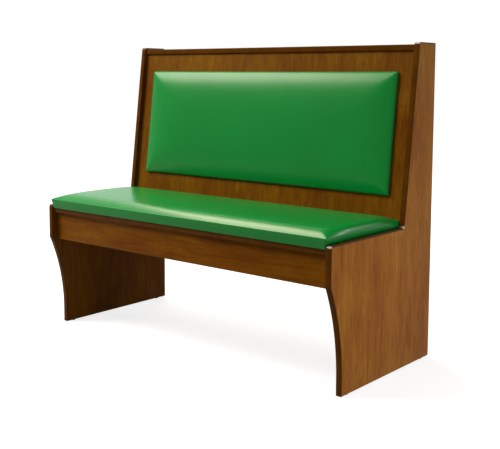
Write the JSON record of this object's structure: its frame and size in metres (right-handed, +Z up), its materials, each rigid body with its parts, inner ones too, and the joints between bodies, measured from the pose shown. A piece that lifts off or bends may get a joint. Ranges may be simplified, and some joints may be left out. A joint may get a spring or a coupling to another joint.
{
  "type": "booth bench",
  "caption": "Single booth bench with a leaning back: scooped wooden ends with dark edge moulding, and padded seat and back in vinyl.",
  "frame": {"origin": "on the floor, under the middle of the bench's length and depth", "axes": "+X along the bench to its right-hand end as seen by someone facing it, +Y from the front to the back, +Z up"},
  "size_m": [1.168, 0.5399, 0.9649],
  "materials": {
    "veneer": "walnut-stained veneer under satin lacquer",
    "moulding": "dark brown, semi-gloss",
    "frame_timber": "bare plywood and softwood",
    "pad_board": "bare plywood",
    "vinyl": "green upholstery vinyl, satin sheen",
    "foam": "open-cell foam",
    "screw_steel": "zinc plated",
    "glide": "brown nylon"
  },
  "bodies": {
    "root": {"end_panel_left": "veneer", "end_panel_right": "veneer", "back_panel": "veneer", "front_apron": "veneer", "top_rail": "veneer", "rear_panel": "veneer", "end_moulding_left": "moulding", "end_moulding_right": "moulding", "top_rail_moulding": "moulding", "deck_edge_strip": "moulding", "seat_deck": "frame_timber", "seat_cleat_left": "frame_timber", "seat_cleat_right": "frame_timber", "rear_seat_rail": "frame_timber", "centre_seat_rib": "frame_timber", "corner_blocks": "frame_timber", "back_cleat_left": "frame_timber", "back_cleat_right": "frame_timber", "lower_back_battens": "frame_timber", "upper_back_battens": "frame_timber", "centre_back_rib": "frame_timber", "rear_stretcher": "frame_timber", "upper_back_rail": "frame_timber", "rear_batten_left": "frame_timber", "rear_batten_right": "frame_timber", "seat_pad_board": "pad_board", "back_pad_board": "pad_board", "seat_pad_cover": "vinyl", "back_pad_cover": "vinyl", "seat_pad_foam": "foam", "back_pad_foam": "foam", "cleat_screws": "screw_steel", "deck_screws": "screw_steel", "seat_pad_screws": "screw_steel", "back_pad_screws": "screw_steel", "rear_panel_screws": "screw_steel", "top_rail_screws": "screw_steel", "floor_glides": "glide"}
  },
  "joints": []
}
